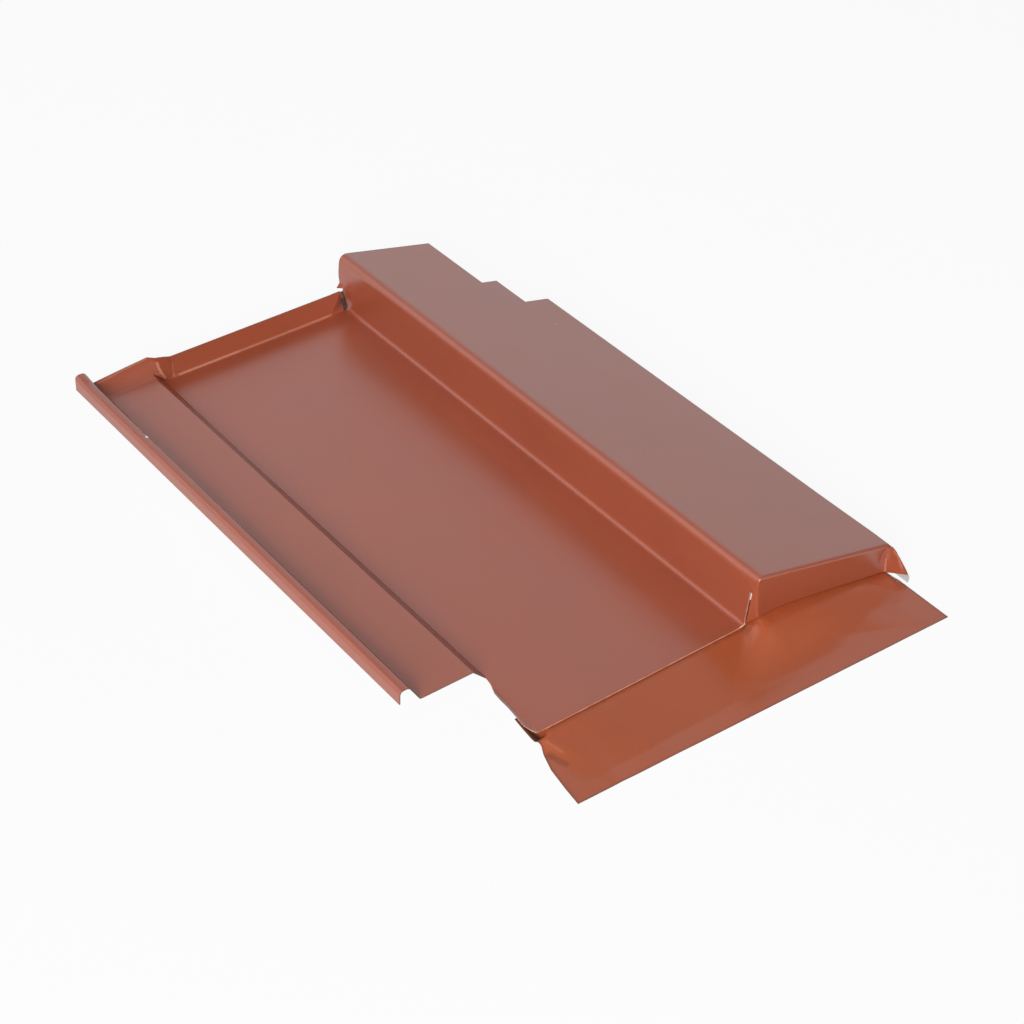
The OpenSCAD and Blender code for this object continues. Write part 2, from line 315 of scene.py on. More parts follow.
def notchSection(piece, s):
    shelfLeft = -s["stepRun"] - s["shelfWidth"]
    ribLeft, end = s["panWidth"] - s["wallLean"], s["panLength"]
    cutAcross(piece, "y", [y for y, x, drop in s["drip"]])
    cutAcross(piece, "y", (s["notchY"][1], s["notchY"][0], s["shelfEnd"], end, s["ribEnd"]))
    cutAcross(piece, "x", (s["crease"][-1][0], s["upstandStart"], s["upstandBend"],
                           s["upstandEnd"]), lambda x, y, z: near(z, 0))
    cutAcross(piece, "x", s["notchX"], lambda x, y, z: x > ribLeft - 1 and z > 10)
    cutAcross(piece, "x", (s["shelfTops"][1][0],), lambda x, y, z: near(z, s["shelfRise"]))
    # eave: the lock stops short of the corner, and the pan stops short of the nose
    removeFaces(piece, lambda x, y, z: x < slack and y < s["lockSetback"] + slack)
    removeFaces(piece, lambda x, y, z: near(z, 0) and y < slack)
    # ridge: each part of the section ends at its own length
    removeFaces(piece, lambda x, y, z: y > s["shelfEnd"] - slack
                and shelfLeft - slack < x < slack and z < s["shelfRise"] + slack)
    removeFaces(piece, lambda x, y, z: y > end - slack and near(z, 0))
    removeFaces(piece, lambda x, y, z: y > s["ribEnd"] - slack and x > ribLeft - 1)
    for notchX, notchY in zip(s["notchX"], s["notchY"]):
        removeFaces(piece, lambda x, y, z: x > notchX - slack and y > notchY - slack)
    # the wall's ridge end is cut through above the upstand, and below that it is a loose flap
    low, high = s["wallSlot"]
    wallEnd = lambda x, y, z: y > end - slack and ribLeft - 1 < x < s["panWidth"] + slack
    cut(piece, wallEnd, (0, 0, high), (0, 0, 1))
    cut(piece, lambda x, y, z: wallEnd(x, y, z) and z < high + slack, (0, 0, low), (0, 0, 1))
    removeFaces(piece, lambda x, y, z: wallEnd(x, y, z) and low - slack < z < high + slack)
    cut(piece, lambda x, y, z: wallEnd(x, y, z) and z < low + slack, (0, end + 0.3, 0), (0, 1, 0))


# Left of the pan at the eave the sheet is a little wider and turns down over a soft bend
def foldDripEdge(piece, s):
    rows, drip = s["dripRows"], s["drip"]
    radii = {y: max(0.02, min(s["dripBend"], -x)) for y, x, drop in drip}
    moveCorners(piece, [((0, y, 0), (min(0, x + radii[y]), y, 0)) for y, x, drop in drip])
    pick(piece, "EDGE", lambda x, y, z: x < slack and y < drip[-1][0] + slack and near(z, 0))

    def place(corner, row):
        y, edge, drop = min(drip, key=lambda line: abs(line[0] - corner.y))
        radius = radii[y]
        turn = math.acos(max(0, 1 - drop / radius)) * min(1, row / (rows - 1))
        z = -radius * (1 - math.cos(turn)) if row < rows else -drop
        return edge + radius - radius * math.sin(turn), corner.y, z
    bendRows(piece, rows, place)


# The eave edge is folded back flat under the pan
def foldHem(piece, s):
    radius = s["hemRadius"] * mm
    pick(piece, "EDGE",
         lambda x, y, z: near(y, 0) and near(z, 0) and x < s["upstandEnd"] + slack)
    bpy.ops.mesh.spin(steps=s["hemSteps"], angle=math.pi, center=(0, 0, -radius), axis=(-1, 0, 0))
    extrude(0, s["hemWidth"], 0)


# The rib's eave end: nose folded down from the top, its return slit free of the wall
def foldNose(piece, s):
    front, wallFoot, slit, width = s["noseFront"], s["panWidth"], s["slit"], s["slitWidth"]
    left, right = wallFoot - s["wallLean"], wallFoot - s["wallLean"] + s["ribWidth"]
    foot, slitTop, corner = s["returnFoot"], s["slitTop"], s["noseCorner"]
    topZ = lambda x: s["ribHeight"] - (x - left) * s["ribDrop"] / s["ribWidth"]
    wallX = lambda z: wallFoot - s["wallLean"] * z / s["ribHeight"]
    wall = lambda x, y, z: y < slack and left - slack < x < wallFoot + slack
    lowWall = lambda x, y, z: wall(x, y, z) and z < slitTop + slack
    cut(piece, wall, (0, 0, slitTop), (0, 0, 1))
    for point, normal in (((0, 0, 0), slit), ((0, -width, 0), slit), ((0, s["slitEdge"], 0), slit),
                          ((0, front, foot), s["returnEdge"])):
        cut(piece, lowWall, point, normal)
    past = lambda y, z: y + z * slit[2] / slit[1]    # how far it lies behind the slit's rear edge
    below = lambda y, z: (y - front) * s["returnEdge"][1] + (z - foot) * s["returnEdge"][2] < 0.05
    removeFaces(piece, lambda x, y, z: lowWall(x, y, z) and -width - 0.01 < past(y, z) < 0.01)
    removeFaces(piece,
                lambda x, y, z: wall(x, y, z) and past(y, z) < 0.01 - width and below(y, z))
    pick(piece, "EDGE",
         lambda x, y, z: near(y, front) and near(z, topZ(x), slack) and x > left - slack)
    extrude(0, 0, -s["noseDepth"])
    cutAcross(piece, "x", [line[0] for line in s["noseEdge"]],
              lambda x, y, z: near(y, front) and left - slack < x < right + slack)
    drawn = lambda x: (x, front, topZ(x) - s["noseDepth"])
    moveCorners(piece, [(drawn(x), end) for x, *end in s["noseEdge"]])
    moveCorners(piece, [(drawn(left), corner), ((wallX(foot), front, foot), corner),
                        (drawn(right), (right - s["noseLean"], front, s["noseFoot"]))])
    # the nose's left edge and the return's front edge are one fold
    atFold = lambda x, y, z: (left - slack < x < s["noseEdge"][0][1] + slack
                              and y < corner[1] + slack)
    cut(piece, atFold, (0, 0, slitTop), (0, 0, 1))
    top = Vector((left, front, s["ribHeight"]))
    middle = top.lerp(Vector(corner), (top.z - slitTop) / (top.z - corner[2]))
    moveCorners(piece, [((wallX(slitTop), front, slitTop), middle)])


# Toe of the side flange, which reaches forward, and the web that ties it to the nose
def foldToe(piece, s):
    front, right = s["noseFront"], s["panWidth"] - s["wallLean"] + s["ribWidth"]
    topZ = s["ribHeight"] - s["ribDrop"]
    toe, heights = s["toe"], s["webHeights"]
    slope = s["flangeLean"] / (topZ + panLift)
    cutAcross(piece, "z", [z for x, y, z in toe][:-1],
              lambda x, y, z: x > right - slack and y < slack and z < topZ + slack)
    cutAcross(piece, "z", heights[:-1],
              lambda x, y, z: near(y, front) and s["pinchStart"] < x < right + slack)
    top = (right, front, topZ)
    flange = [(right + slope * (topZ - z), front, z) for x, y, z in toe]
    noseX = lambda z: right - s["noseLean"] * (topZ - z) / (topZ - s["noseFoot"])
    # a dent and a pinched ridge run down the nose beside the web
    for x, low, shifts in s["pinch"]:
        moveCorners(piece, [((x, front, z), (x, front + shift, z))
                            for z, shift in zip((*heights[1:-1], low), shifts)])
    nose = [(noseX(z), front + shift, z) for z, shift in zip(heights, s["webShift"])]
    for spot in nose:
        moveCorners(piece, [((spot[0], front, spot[2]), spot)])
    patch(piece, [top, flange[0], toe[0]])
    for i in range(len(toe) - 1):
        patch(piece, [flange[i], flange[i + 1], toe[i + 1], toe[i]])
    patch(piece, [top, toe[0], nose[0]])
    for i in range(len(nose) - 1):
        patch(piece, [nose[i], toe[i], toe[i + 1], nose[i + 1]])


# Upstands at the ridge: the pan's with its turned-back corner, the shelf's through a soft bend,
# and the creased gusset between the two
def foldUpstands(piece, s):
    end, top, x0 = s["panLength"], s["upstand"], s["upstandStart"]
    bend, right, lobe, tip = s["upstandBend"], s["upstandEnd"], s["lobe"], s["lobeTip"]
    pick(piece, "EDGE",
         lambda x, y, z: near(y, end) and near(z, 0) and x0 - slack < x < right + slack)
    extrude(0, 0, top)
    removeFaces(piece, lambda x, y, z: near(y, end) and bend - slack < x < right + slack
                and z < top + slack)
    corner = (s["upstandCorner"], end, top)
    patch(piece, [(bend, end, 0), corner, (bend, end, top)])
    patch(piece, [(bend, end, 0), (right, end, 0), lobe])
    patch(piece, [(bend, end, 0), lobe, tip])
    patch(piece, [(bend, end, 0), tip, corner])
    # shelf
    start, rise, radius, rows = s["shelfEnd"], s["shelfRise"], s["shelfBend"], s["shelfRows"]
    shelfLeft, shelfRight = -s["stepRun"] - s["shelfWidth"], -s["stepRun"]
    pick(piece, "EDGE", lambda x, y, z: near(y, start) and near(z, rise)
         and shelfLeft - slack < x < shelfRight + slack)
    arc = {}

    def place(corner, row):
        x, height = min(s["shelfTops"], key=lambda pair: abs(pair[0] - corner.x))
        turn = math.acos(1 - (height - rise) / radius) * row / rows
        z = rise + radius * (1 - math.cos(turn))
        inward = 0 if x > shelfLeft + 1 else s["beadWidth"] / 2 * (z - rise) / s["beadHeight"]
        arc[x, row] = (x - inward, start + radius * math.sin(turn), z)
        return arc[x, row]
    bendRows(piece, rows, place)
    # gusset, a fan of small faces from the shelf's arc to the crease and on to the pan's upstand
    a = [(shelfRight, start, rise)]
    a += [arc[s["shelfTops"][-1][0], row] for row in range(1, rows + 1)]
    g, saddle, lip, middle = s["crease"], s["saddle"], s["gussetLip"], s["gussetMid"]
    moveCorners(piece, [((g[-1][0], end, 0), g[-1])])
    stepFoot, inner, panFoot, panTop = (0, start, 0), (0, end, 0), (x0, end, 0), (x0, end, top)
    for corners in ((a[0], stepFoot, inner), (a[0], inner, a[1]), (a[1], inner, a[2]),
                    (a[2], inner, g[3]), (inner, g[4], g[3]), (a[2], g[3], g[2]),
                    (a[2], g[2], a[3]), (a[3], g[2], g[1]), (a[3], g[1], a[4]),
                    (a[4], g[1], g[0]), (a[4], g[0], a[5]), (a[5], g[0], a[6]),
                    (a[6], g[0], saddle), (g[4], panFoot, g[3]), (g[3], panFoot, g[2]),
                    (g[2], panFoot, middle), (g[2], middle, g[1]), (g[1], middle, g[0]),
                    (g[0], middle, lip, saddle), (middle, panTop, lip)):
        patch(piece, corners)


# The ridge end of the rib's wall is flared towards the pan and ends in a small spur
def flareWall(piece, s):
    end, start, (low, high) = s["ribEnd"], s["wallFlareStart"], s["wallSlot"]
    ribLeft, wallFoot = s["panWidth"] - s["wallLean"], s["panWidth"]
    wall = lambda x: ribLeft - 1 < x < wallFoot + slack
    openPiece(piece)
    cutAcross(piece, "y", s["wallFlareRows"], lambda x, y, z: ribLeft - 1 < x < 160)
    cutAcross(piece, "z", s["wallFlareHeights"],
              lambda x, y, z: wall(x) and y > s["wallFlareRows"][0] - 1)
    mesh = bmesh.from_edit_mesh(piece.data)
    for v in mesh.verts:
        x, y, z = v.co / mm
        if wall(x) and y > start + 3 and 5 < z < 44:
            shift = s["wallFlare"] * ease(start, end, y)
            shift *= ease(*s["wallFlareTop"], z) * ease(*s["wallFlareFoot"], z)
            if near(y, end) and near(z, high):    # the spur
                shift = s["wallSpur"]
            v.co.x -= shift * mm
        if near(y, end) and z < low + slack and wall(x):
            dx, dy, squash = s["wallFlap"]
            v.co += Vector((dx, dy, squash * z)) * mm
        if y > s["panLength"] + 0.2 and z < slack and wall(x):    # the flap's foot
            v.co.z -= s["wallFlapDrop"] * mm
    bmesh.update_edit_mesh(piece.data)
    closePiece()


# The bead opens a little towards its ridge end
def flareBead(piece, s):
    left, start, end = -s["stepRun"] - s["shelfWidth"], s["beadFlareStart"], s["beadEnd"]
    openPiece(piece)
    cutAcross(piece, "y", s["beadFlareRows"], lambda x, y, z: x < left - 1)
    mesh = bmesh.from_edit_mesh(piece.data)
    for v in mesh.verts:
        x, y, z = v.co / mm
        if x < left - 0.2 and y > start:
            share = ease(*s["beadFlareFoot"], z) * ease(start, end, y)
            v.co.z += s["beadFlare"] * share * mm
    bmesh.update_edit_mesh(piece.data)
    closePiece()


# The pan's upstand leans back a little
def leanUpstand(piece, s):
    end, top, bend, (back, down) = s["panLength"], s["upstand"], s["upstandBend"], s["upstandLean"]
    for v in piece.data.vertices:
        x, y, z = v.co / mm
        if y > end - slack and 0.5 < z < top + 0.2 and 0 < x < 146:
            share = z / top * ease(*s["leanFrom"], x)
            share *= blendTo(1, s["leanLeft"], ease(bend, s["leanTo"], x))
            v.co += Vector((0, back, -down)) * share * mm


# Which edges each radius belongs to; the first test that an edge passes counts
def foldRadii(s):
    radii, step, lock = s["radii"], -s["stepRun"], -s["stepRun"] - s["shelfWidth"]
    wallFoot = s["panWidth"]
    ribLeft, corner = wallFoot - s["wallLean"], s["noseCorner"]
    ribRight, ribLow = ribLeft + s["ribWidth"], s["ribHeight"] - s["ribDrop"]
    front, rise, beadTop = s["noseFront"], s["shelfRise"], s["shelfRise"] + s["beadHeight"]
    topZ = lambda x: s["ribHeight"] - (x - ribLeft) * s["ribDrop"] / s["ribWidth"]
    isOneOf = lambda spots, *spot: min((Vector(spot) - Vector(c)).length for c in spots) < 0.05
    return [
        (lambda x, y, z: near(z, beadTop)
            and near(x, lock - s["beadWidth"] + s["lipLean"], slack), radii["lip"]),
        (lambda x, y, z: near(z, beadTop), radii["bead"]),
        (lambda x, y, z: near(x, lock) and near(z, rise), radii["lock"]),
        (lambda x, y, z: near(x, step) and near(z, rise)
            and y < s["shelfEnd"] + slack, radii["shelf"]),
        (lambda x, y, z: near(x, 0) and near(z, 0)
            and s["lockSetback"] - slack < y < s["shelfEnd"] + slack, radii["step"]),
        (lambda x, y, z: near(x, wallFoot) and near(z, 0), radii["wallFoot"]),
        (lambda x, y, z: near(x, ribLeft) and near(z, s["ribHeight"]), radii["ribLeft"]),
        (lambda x, y, z: near(x, ribRight) and near(z, ribLow) and y < 20, radii["noseRight"]),
        (lambda x, y, z: near(x, ribRight) and near(z, ribLow), radii["ribRight"]),
        (lambda x, y, z: isOneOf(s["crease"], x, y, z), radii["gusset"]),
        (lambda x, y, z: near(x, s["pinch"][-1][0], slack) and y < front
            and z < s["webHeights"][1] + slack, radii["web"]),
        (lambda x, y, z: isOneOf(s["toe"][1:6], x, y, z), radii["toe"]),
        (lambda x, y, z: near(y, front) and near(z, topZ(x), slack), radii["noseTop"]),
        (lambda x, y, z: x < 153 and (near(y, front) and z > 40 or near(y, corner[1])
                                      or near(z, s["slitTop"]) and y < -9), radii["noseLeft"]),
        (lambda x, y, z: near(y, s["panLength"]) and near(z, 0)
            and s["upstandStart"] < x < s["upstandBend"] + slack, radii["upstand"]),
    ]


roof = rollSection(sheetSizes)
for step in (notchSection, foldDripEdge, foldHem, foldNose, foldToe, foldUpstands):
    step(roof, sheetSizes)
closePiece()
print("section rolled, notched and folded")

alignFaces(roof)
bendFolds(roof, foldRadii(sheetSizes), sheetSizes["bendSegments"])
for step in (flareWall, flareBead, leanUpstand):
    step(roof, sheetSizes)
thicken(roof, sheetSizes["thickness"], sheetSizes["beadEnd"], sheetSizes["toe"][1:7])
smoothPiece(roof, sheetSizes["smoothAngle"])
print("folds bent and sheet thickened")


# Soft aluminium apron: flat on the floor in front, dressed up to the hem and to the nose

apronSizes = {
    "thickness": 0.4, "columns": 150, "rows": 60, "smoothAngle": 60,
    # its two ends, from the front to the back: share of the way, x, y
    "left": ((0, -15.6, -52.8), (0.2, -14.0, -39.0), (0.42, -11.6, -23.6), (0.58, -7.7, -11.4),
             (0.66, -5.6, -6.9), (0.8, -5.5, 3.0), (0.9, -4.7, 11.7), (1, -3.6, 20.5)),
    "right": ((0, 254.05, -61.45), (0.5, 254.3, -34.0), (0.68, 254.5, -20.0),
              (0.8, 253.4, -12.0), (1, 253.2, 14.0)),
    # height under the hem, and at each x the length over which it rises to that
    "hem": -1.45,
    "slope": ((-10, 42), (120, 42), (150, 30), (185, 32), (235, 56), (254, 60)),
    # the crease from the pan's corner to the side edge: its x at the two ends, and their y
    "creaseX": (-2.5, 7), "creaseY": (-1, -21),
    # from how far left to how far right of it the strip falls, and its height close by, as a share
    "fall": (-12.5, 1.5), "creaseShare": 0.7,
    "rightFall": (262, 200),           # x between which it falls towards the right end
    # the fan that rises to the nose: x where it starts at the pan, its slant, and x where it ends;
    # then how far in front of the pan it starts, and between which x that grows shorter
    "fan": (147, 1.1, 156), "reach": (-46, -33), "reachX": (178, 226),
    # low creases and swells: from x, y, to x, y, width, height
    "swells": ((-1.5, -4, 3.0, -20, 2.5, 0.2), (12, -26, 15, -53, 5.5, 0.25),
               (36, -18, 52, -54, 12.0, 0.2), (214, -28, 222, -58, 9.0, 0.1),
               (234, -30, 238, -52, 7.0, 0.1), (186, -48, 175, -62, 9.0, 0.1)),
    # lower edge of the nose it is dressed up to: x, y, z
    "nose": ((147, -5.8, 6.7), (152.7, -6.0, 6.9), (158.3, -6.0, 7.3), (168.0, -6.3, 7.6),
             (187.8, -8.1, 6.5), (217.2, -11.3, 3.6), (231.3, -12.0, 1.5), (241.0, -12.0, -0.4),
             (250.0, -13.0, -2.4), (254.0, -14.0, -5.6)),
}


# The values of a table at a place between its rows; the first column holds the places
def along(points, value):
    for a, b in zip(points, points[1:]):
        if value <= b[0]:
            share = max(0, (value - a[0]) / (b[0] - a[0]))
            return [blendTo(p, q, share) for p, q in zip(a[1:], b[1:])]
    return list(points[-1][1:])


def apronHeight(x, y, a):
    ground = a["thickness"] - panLift
    # left of a crease from the pan's corner it falls to its side edge
    creaseX = blendTo(*a["creaseX"], ease(*a["creaseY"], y))
    beside = blendTo(ease(-1.5, 3, x), ease(*a["fall"], x - creaseX), ease(0, -5, y))
    slope = along(a["slope"], x)[0]
    share = min(1, max(0, (y + 1 + slope) / slope))
    # it is lower near the crease and towards the right end
    flat = blendTo(a["creaseShare"], 1, max(ease(0, 30, x), ease(-9, -1, y)))
    right = ease(*a["rightFall"], x)
    base = blendTo(ground, a["hem"], beside * share * flat * right)
    swell = 0
    for x0, y0, x1, y1, width, height in a["swells"]:
        line, spot = Vector((x1 - x0, y1 - y0)), Vector((x - x0, y - y0))
        share = min(1, max(0, spot.dot(line) / line.length_squared))
        swell += height * math.exp(-((spot - line * share).length / width) ** 2)
    base += swell * ease(0, -8, y)
    # it is dressed up to the nose's lower edge over a fan that starts at the slit's foot
    (noseY, noseZ), (fanX, slant, fanEnd) = along(a["nose"], x), a["fan"]
    reach = blendTo(*a["reach"], ease(*a["reachX"], x))
    beyondHem = blendTo(ease(-0.5, -7, y), 1, ease(fanX, 151, x))    # it stays low under the hem
    under = ease(fanX + slant * y, fanEnd, x) * ease(reach, noseY, y) * beyondHem
    return blendTo(base, max(base, noseZ), under)


def makeApron(a):
    clearSelection()
    bpy.ops.mesh.primitive_grid_add(x_subdivisions=a["columns"], y_subdivisions=a["rows"], size=1)
    piece = bpy.context.object
    piece.name = "apron_skin"
    for v in piece.data.vertices:
        u, w = v.co.x + 0.5, v.co.y + 0.5
        x, y = [blendTo(p, q, u) for p, q in zip(along(a["left"], w), along(a["right"], w))]
        v.co = Vector((x, y, apronHeight(x, y, a))) * mm
    return piece


apron = makeApron(apronSizes)
thicken(apron, apronSizes["thickness"])
smoothPiece(apron, apronSizes["smoothAngle"])
for piece in (roof, apron):
    piece.location = panCorner
    selectOnly(piece)
    bpy.ops.object.transform_apply(location=True, rotation=False, scale=False)
print("apron dressed, pieces in place")


# Materials

finishes = {
    "paint": (0.36, 0.083, 0.036), "apronPaint": (0.43, 0.093, 0.030),
    # a lighter colour for painted highlights on creases, folds and edges, and a dark one for
    # painted shade in gaps, hollows and along edges
    "highlightPaint": (0.66, 0.30, 0.19), "paintedShade": (0.040, 0.018, 0.012), "bareMetal": (0.62, 0.60, 0.55),
    # the cut edge's dark colour is painted shade along the edges; the lighter one is for bare cut
    # edges painted lit
    "backCoat": (0.58, 0.62, 0.60), "cutEdge": (0.11, 0.07, 0.065), "cutEdgeBareAndLit": (0.80, 0.50, 0.36),
    "paintRough": 0.32, "apronRough": 0.24, "backRough": 0.45, "cutRough": 0.4, "cutMetallic": 0.2,
    "paintIor": 1.8, "apronIor": 1.58, "glossTint": (1, 0.92, 1),
    "paintGrain": 1500.0, "apronGrain": 1100.0, "backGrain": 1300.0,
    "cloudScale": 14.0, "streakScale": (220, 9, 220), "raggedScale": 700.0,
    "bump": 0.3, "cutBump": 0.4, "bumpDistance": 0.00003,
}

# Marks as from, to, half width, how much: painted highlights along creases, folds and edges,
# painted shade along dark edges and hollows, and bare metal where the paint is chipped off
sheetMarks = {
    "highlightPaint": (
        # gusset and the feet of the upstands
        ((-2.6, 421.0, 14.8), (-1.9, 420.6, 10.2), 1.0, 0.75),
        ((-1.9, 420.6, 10.2), (-0.5, 420.1, 5.4), 1.1, 0.8),
        ((-0.5, 420.1, 5.4), (1.3, 419.6, 2.0), 1.1, 0.75),
        ((8.2, 420.9, 10), (8.1, 419.9, 1.0), 0.8, 0.35),
        ((12, 419.6, 0.4), (58, 419.6, 0.4), 0.9, 0.55),
        ((58, 419.6, 0.4), (131, 419.6, 0.4), 0.8, 0.35),
        ((-47.0, 423.2, 15.0), (-24.6, 423.9, 18.0), 0.9, 0.35),
        ((-24.6, 423.9, 18.0), (-9.0, 424.0, 19.4), 0.9, 0.4),
        # nose, web and toe
        ((248.2, -12.8, 15.0), (249.0, -12.8, -0.3), 0.7, 0.45),
        ((252.1, -15.4, 14.6), (252.6, -18.2, 12.7), 0.9, 0.4),
        ((252.6, -18.2, 12.7), (253.9, -20.4, 7.4), 0.9, 0.45),
        ((253.9, -20.4, 7.4), (255.6, -22.1, 1.1), 1.0, 0.5),
        # turned-down edge beside the eave corner
        ((-3.6, 20.0, -4.0), (-3.7, 12.2, -5.1), 0.9, 0.9),
        ((-3.7, 12.2, -5.1), (-3.9, 6.0, -3.3), 0.9, 0.9),
        ((-3.9, 6.0, -3.3), (-4.2, 0.0, -0.8), 0.8, 0.9)),
    "paintedShade": (
        # ridge end and right edge of the rib
        ((149.5, 422.6, 43.2), (218.8, 422.6, 26.4), 0.9, 0.5),
        ((145.0, 422.6, 42.0), (143.1, 422.8, 28.0), 0.8, 0.55),
        ((143.1, 422.8, 28.0), (140.9, 422.8, 18.6), 0.8, 0.7),
        ((251.3, -12.0, 17.6), (251.3, 289.9, 17.6), 1.3, 0.4),
        # front edge of the toe
        ((252.0, -14.8, 17.2), (252.6, -18.2, 14.7), 0.8, 0.6),
        ((252.6, -18.2, 14.7), (254.2, -22.7, 8.4), 0.8, 0.65),
        ((254.2, -22.7, 8.4), (256.2, -26.0, 0.5), 0.8, 0.7)),
    "bareMetal": (
        ((-52.6, 344.8, 20.3), (-51.9, 346.3, 19.9), 1.1, 1.0),
        ((231.2, 289.9, 23.5), (231.2, 289.9, 23.5), 0.5, 0.8)),
}
# On the apron, a painted highlight along the ridge from the pan's corner and painted shade in the
# valley beside it
apronMarks = {
    "highlightPaint": (((-1.8, -7.1, -3.1), (0.9, -17.2, -4.5), 0.9, 0.15),),
    "paintedShade": (((-5.7, -14.9, -5.5), (-2.9, -24.8, -5.5), 2.4, 0.28),),
}


# A node group with the named sockets; inputs and outputs hold the names of each kind of socket
def newGroup(name, inputs, outputs):
    group = bpy.data.node_groups.new(name, "ShaderNodeTree")
    for side, sockets in (("INPUT", inputs), ("OUTPUT", outputs)):
        for kind, labels in sockets:
            for label in labels:
                group.interface.new_socket(label, in_out=side, socket_type="NodeSocket" + kind)
    given, result = group.nodes.new("NodeGroupInput"), group.nodes.new("NodeGroupOutput")
    return group, given.outputs, result.inputs


def addNode(tree, kind, settings, values):
    node = tree.nodes.new("ShaderNode" + kind)
    for key, value in settings.items():
        setattr(node, key, value)
    for key, value in values.items():
        if isinstance(value, bpy.types.NodeSocket):
            tree.links.new(value, node.inputs[key])
        else:
            node.inputs[key].default_value = value
    return node


# Short forms of the nodes that are used most; each gives the socket that comes out

def calc(tree, operation, *values, clamp=False):
    settings = {"operation": operation, "use_clamp": clamp}
    return addNode(tree, "Math", settings, dict(enumerate(values))).outputs[0]


def vectorCalc(tree, operation, first, second, result="Vector"):
    values = {0: first, "Scale" if operation == "SCALE" else 1: second}
    return addNode(tree, "VectorMath", {"operation": operation}, values).outputs[result]


def noiseAt(tree, place, scale, detail, roughness=0.5):
    return addNode(tree, "TexNoise", {}, {"Vector": place, "Scale": scale, "Detail": detail,
                                          "Roughness": roughness}).outputs[0]


def remap(tree, value, fromMin, fromMax, toMin, toMax):
    return addNode(tree, "MapRange", {}, {"Value": value, "From Min": fromMin, "From Max": fromMax,
                                          "To Min": toMin, "To Max": toMax}).outputs[0]


def colourMix(tree, share, first, second):
    return addNode(tree, "Mix", {"data_type": "RGBA"}, {0: share, 6: first, 7: second}).outputs[2]


# Fine grain of the paint: cloudy colour, painted highlights, painted shade, uneven gloss, and a
# height for bump
def makeCoatGrain():
    group, given, result = newGroup(
        "coatGrain",
        (("Color", ("Colour", "Highlight Colour", "Painted Shade Colour")),
         ("Float", ("Painted Highlight", "Painted Shade", "Roughness", "Grain Scale"))),
        (("Color", ("Colour",)), ("Float", ("Roughness", "Height"))))
    place = addNode(group, "TexCoord", {}, {}).outputs["Object"]
    drawn = addNode(group, "Mapping", {}, {"Vector": place, "Scale": finishes["streakScale"]})
    cloud = noiseAt(group, place, finishes["cloudScale"], 4.0, 0.55)
    fine = noiseAt(group, place, given["Grain Scale"], 2.0)
    streak = noiseAt(group, drawn.outputs[0], 1.0, 3.0)    # along the rolling direction
    tone = calc(group, "MULTIPLY", remap(group, cloud, 0.3, 0.7, 0.955, 1.045),
                remap(group, fine, 0.25, 0.75, 0.95, 1.05))
    toned = vectorCalc(group, "SCALE", given["Colour"], tone)
    ragged = remap(group, streak, 0.3, 0.6, 0.45, 1.0)
    # painted highlights: lighter paint, ragged along its edges
    paintedHighlight = calc(group, "MULTIPLY", given["Painted Highlight"], ragged, clamp=True)
    highlightPaint = colourMix(group, paintedHighlight, toned, given["Highlight Colour"])
    # painted shade: darker in patches, and a little rougher
    patchy = remap(group, cloud, 0.3, 0.7, 0.8, 1.1)
    shadeShare = calc(group, "MULTIPLY", given["Painted Shade"], patchy, clamp=True)
    shaded = colourMix(group, shadeShare, highlightPaint, given["Painted Shade Colour"])
    # the two noises lie around a half, so their mean share is taken off again
    cloudy = calc(group, "MULTIPLY_ADD", cloud, 0.10, given["Roughness"])
    streaky = calc(group, "MULTIPLY_ADD", streak, 0.05, cloudy)
    level = calc(group, "SUBTRACT", streaky, 0.075)
    dull = calc(group, "MULTIPLY_ADD", shadeShare, 0.25, level)
    height = calc(group, "MULTIPLY_ADD", streak, 0.5, fine)
    for name, source in (("Colour", shaded), ("Roughness", dull), ("Height", height)):
        group.links.new(source, result[name])
    return group


# A ragged mark along the line between two places, in object space
def makeMark():
    group, given, result = newGroup(
        "markMask", (("Vector", ("From", "To")), ("Float", ("Half Width", "Amount"))),
        (("Float", ("Mask",)),))
    place = addNode(group, "TexCoord", {}, {}).outputs["Object"]
    ragged = noiseAt(group, place, finishes["raggedScale"], 1.0)
    line = vectorCalc(group, "SUBTRACT", given["To"], given["From"])
    arm = vectorCalc(group, "SUBTRACT", place, given["From"])
    ahead = vectorCalc(group, "DOT_PRODUCT", arm, line, "Value")
    whole = vectorCalc(group, "DOT_PRODUCT", line, line, "Value")
    share = calc(group, "DIVIDE", ahead, whole, clamp=True)
    nearest = vectorCalc(group, "SCALE", line, share)
    away = vectorCalc(group, "DISTANCE", arm, nearest, "Value")
    widths = calc(group, "DIVIDE", away, given["Half Width"])
    mask = remap(group, calc(group, "ADD", widths, ragged), 1.0, 1.7, 1.0, 0.0)
    group.links.new(calc(group, "MULTIPLY", mask, given["Amount"]), result["Mask"])
    return group


